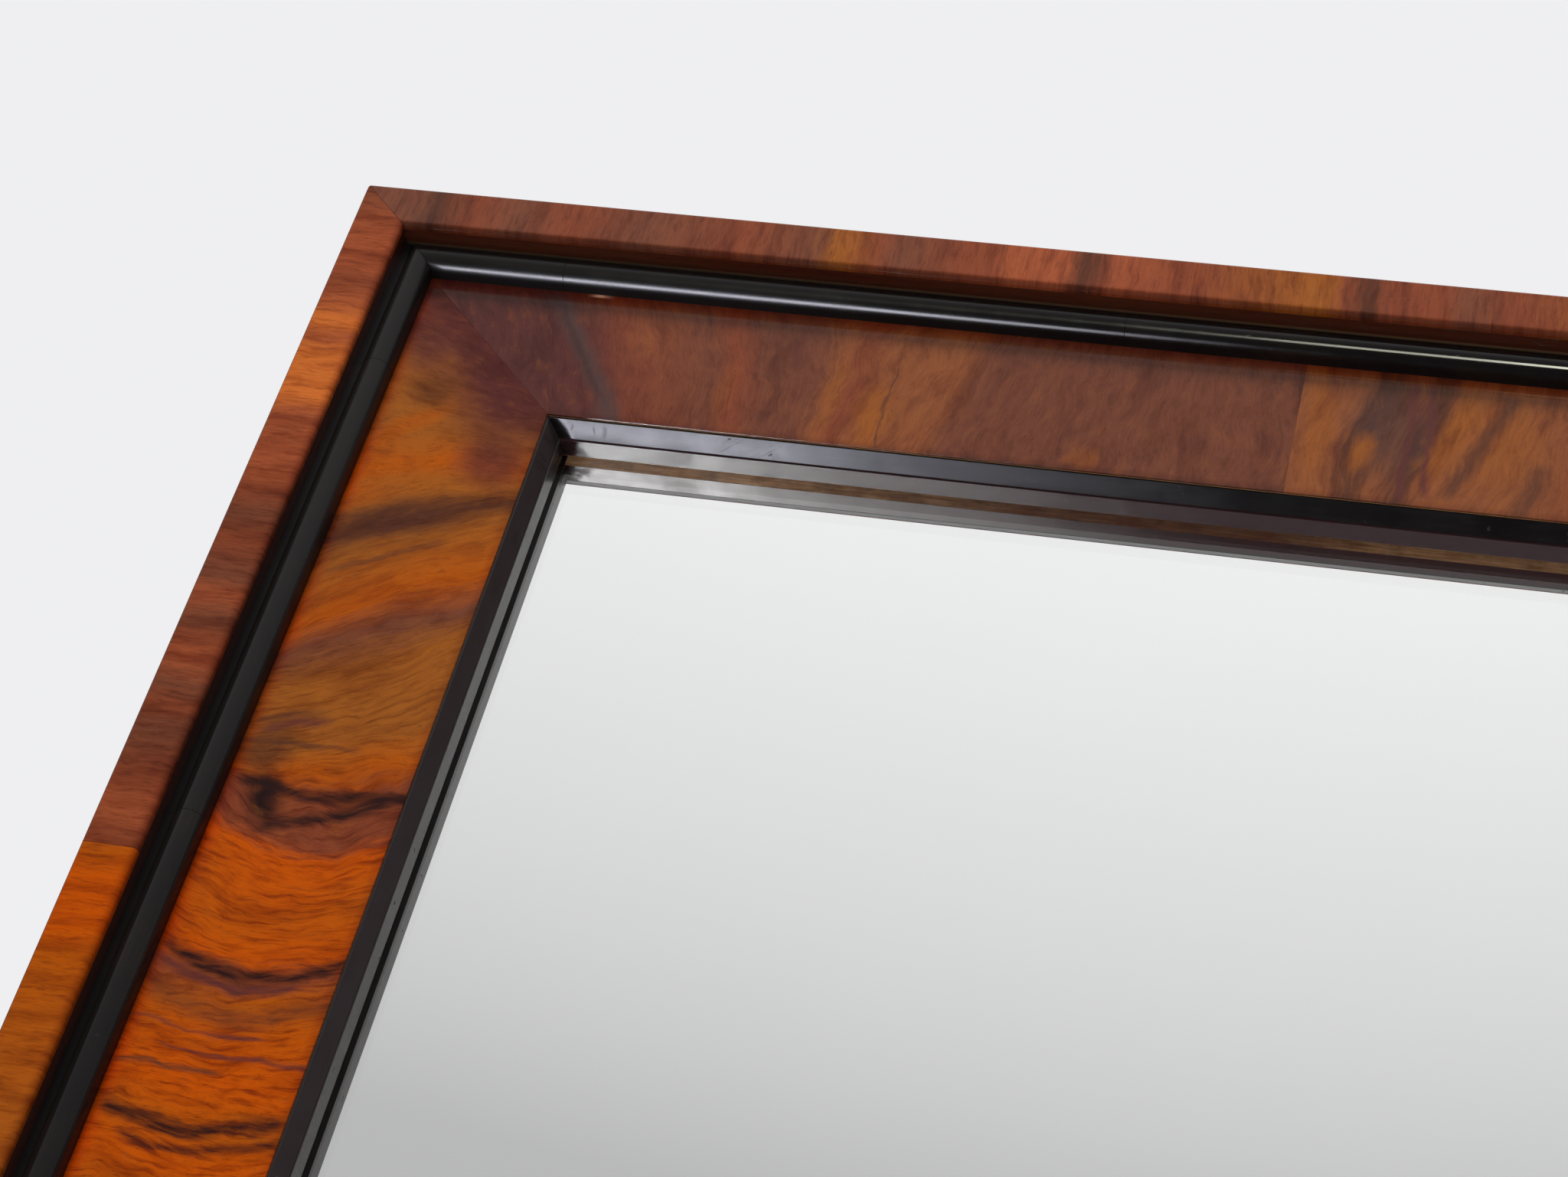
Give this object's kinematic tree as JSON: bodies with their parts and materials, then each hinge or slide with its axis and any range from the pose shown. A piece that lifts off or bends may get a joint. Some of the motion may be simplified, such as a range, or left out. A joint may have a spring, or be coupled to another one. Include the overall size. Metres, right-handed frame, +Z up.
{
  "type": "wall mirror",
  "caption": "Rectangular wall mirror in a crossbanded, veneered frame with ebonised bead and sight slip, boarded back, turn buttons and ring hangers.",
  "frame": {"origin": "on the frame's back plane, midway between the two hangers, at the height of their ring pivots", "axes": "+Z up, +Y out of the back towards the wall, so the mirror faces -Y, +X to the right seen from the front"},
  "size_m": [0.724, 0.059, 0.92],
  "materials": {
    "core_softwood": "aged bare pine, stained at the back",
    "rim_hardwood": "dark stained and polished",
    "crossband_veneer": "cross-grain rosewood tone, french polished",
    "side_veneer": "cross-grain rosewood tone, french polished",
    "ebonised_wood": "ebonised, french polished",
    "figured_veneer": "figured orange-brown veneer with dark streaks, french polished",
    "ebonised_slip": "ebonised, worn satin polish",
    "key_hardwood": "bare",
    "block_softwood": "bare",
    "board_softwood": "aged bare pine",
    "glass": "polished, clear",
    "silvering": "silvered with a painted back",
    "button_brass": "aged satin",
    "screw_brass": "aged satin",
    "screw_steel": "dull zinc",
    "hanger_steel": "dull zinc",
    "ring_steel": "dull zinc",
    "felt": "pressed brown felt"
  },
  "bodies": {
    "frame": {"core_top": "core_softwood", "rim_top": "rim_hardwood", "crossband_top": "crossband_veneer", "side_veneer_top": "side_veneer", "bead_top": "ebonised_wood", "panel_veneer_top": "figured_veneer", "sight_slip_top": "ebonised_slip", "rub_blocks_top": "block_softwood", "core_bottom": "core_softwood", "rim_bottom": "rim_hardwood", "crossband_bottom": "crossband_veneer", "side_veneer_bottom": "side_veneer", "bead_bottom": "ebonised_wood", "panel_veneer_bottom": "figured_veneer", "sight_slip_bottom": "ebonised_slip", "rub_blocks_bottom": "block_softwood", "core_left": "core_softwood", "rim_left": "rim_hardwood", "crossband_left": "crossband_veneer", "side_veneer_left": "side_veneer", "bead_left": "ebonised_wood", "panel_veneer_left": "figured_veneer", "sight_slip_left": "ebonised_slip", "rub_blocks_left": "block_softwood", "core_right": "core_softwood", "rim_right": "rim_hardwood", "crossband_right": "crossband_veneer", "side_veneer_right": "side_veneer", "bead_right": "ebonised_wood", "panel_veneer_right": "figured_veneer", "sight_slip_right": "ebonised_slip", "rub_blocks_right": "block_softwood", "mitre_keys_top_left": "key_hardwood", "mitre_keys_top_right": "key_hardwood", "mitre_keys_bottom_left": "key_hardwood", "mitre_keys_bottom_right": "key_hardwood", "mirror_glass": "glass", "mirror_silvering": "silvering", "back_board_1": "board_softwood", "back_board_2": "board_softwood", "back_board_3": "board_softwood", "turn_button_screws": "screw_brass", "hanger_screws": "screw_steel", "hanger_strap_left": "hanger_steel", "wall_bumper_left": "felt", "hanger_strap_right": "hanger_steel", "wall_bumper_right": "felt"},
    "button_top": {"turn_button_top": "button_brass"},
    "button_bottom": {"turn_button_bottom": "button_brass"},
    "button_left_upper": {"turn_button_left_upper": "button_brass"},
    "button_left_lower": {"turn_button_left_lower": "button_brass"},
    "button_right_upper": {"turn_button_right_upper": "button_brass"},
    "button_right_lower": {"turn_button_right_lower": "button_brass"},
    "ring_left": {"hanger_ring_left": "ring_steel"},
    "ring_right": {"hanger_ring_right": "ring_steel"}
  },
  "joints": [
    {"name": "button_top_turn", "type": "hinge", "parent": "frame", "child": "button_top", "pos_m": [0, 0.0008, 0.109], "axis": [0, 1, 0], "continuous": true},
    {"name": "button_bottom_turn", "type": "hinge", "parent": "frame", "child": "button_bottom", "pos_m": [0, 0.0008, -0.669], "axis": [0, 1, 0], "continuous": true},
    {"name": "button_left_upper_turn", "type": "hinge", "parent": "frame", "child": "button_left_upper", "pos_m": [-0.291, 0.0008, -0.09], "axis": [0, 1, 0], "continuous": true},
    {"name": "button_left_lower_turn", "type": "hinge", "parent": "frame", "child": "button_left_lower", "pos_m": [-0.291, 0.0008, -0.47], "axis": [0, 1, 0], "continuous": true},
    {"name": "button_right_upper_turn", "type": "hinge", "parent": "frame", "child": "button_right_upper", "pos_m": [0.291, 0.0008, -0.09], "axis": [0, 1, 0], "continuous": true},
    {"name": "button_right_lower_turn", "type": "hinge", "parent": "frame", "child": "button_right_lower", "pos_m": [0.291, 0.0008, -0.47], "axis": [0, 1, 0], "continuous": true},
    {"name": "ring_left_swing", "type": "hinge", "parent": "frame", "child": "ring_left", "pos_m": [-0.322, 0.00293, 0], "axis": [1, 0, 0], "range_deg": [0, 180]},
    {"name": "ring_right_swing", "type": "hinge", "parent": "frame", "child": "ring_right", "pos_m": [0.322, 0.00293, 0], "axis": [1, 0, 0], "range_deg": [0, 180]}
  ]
}
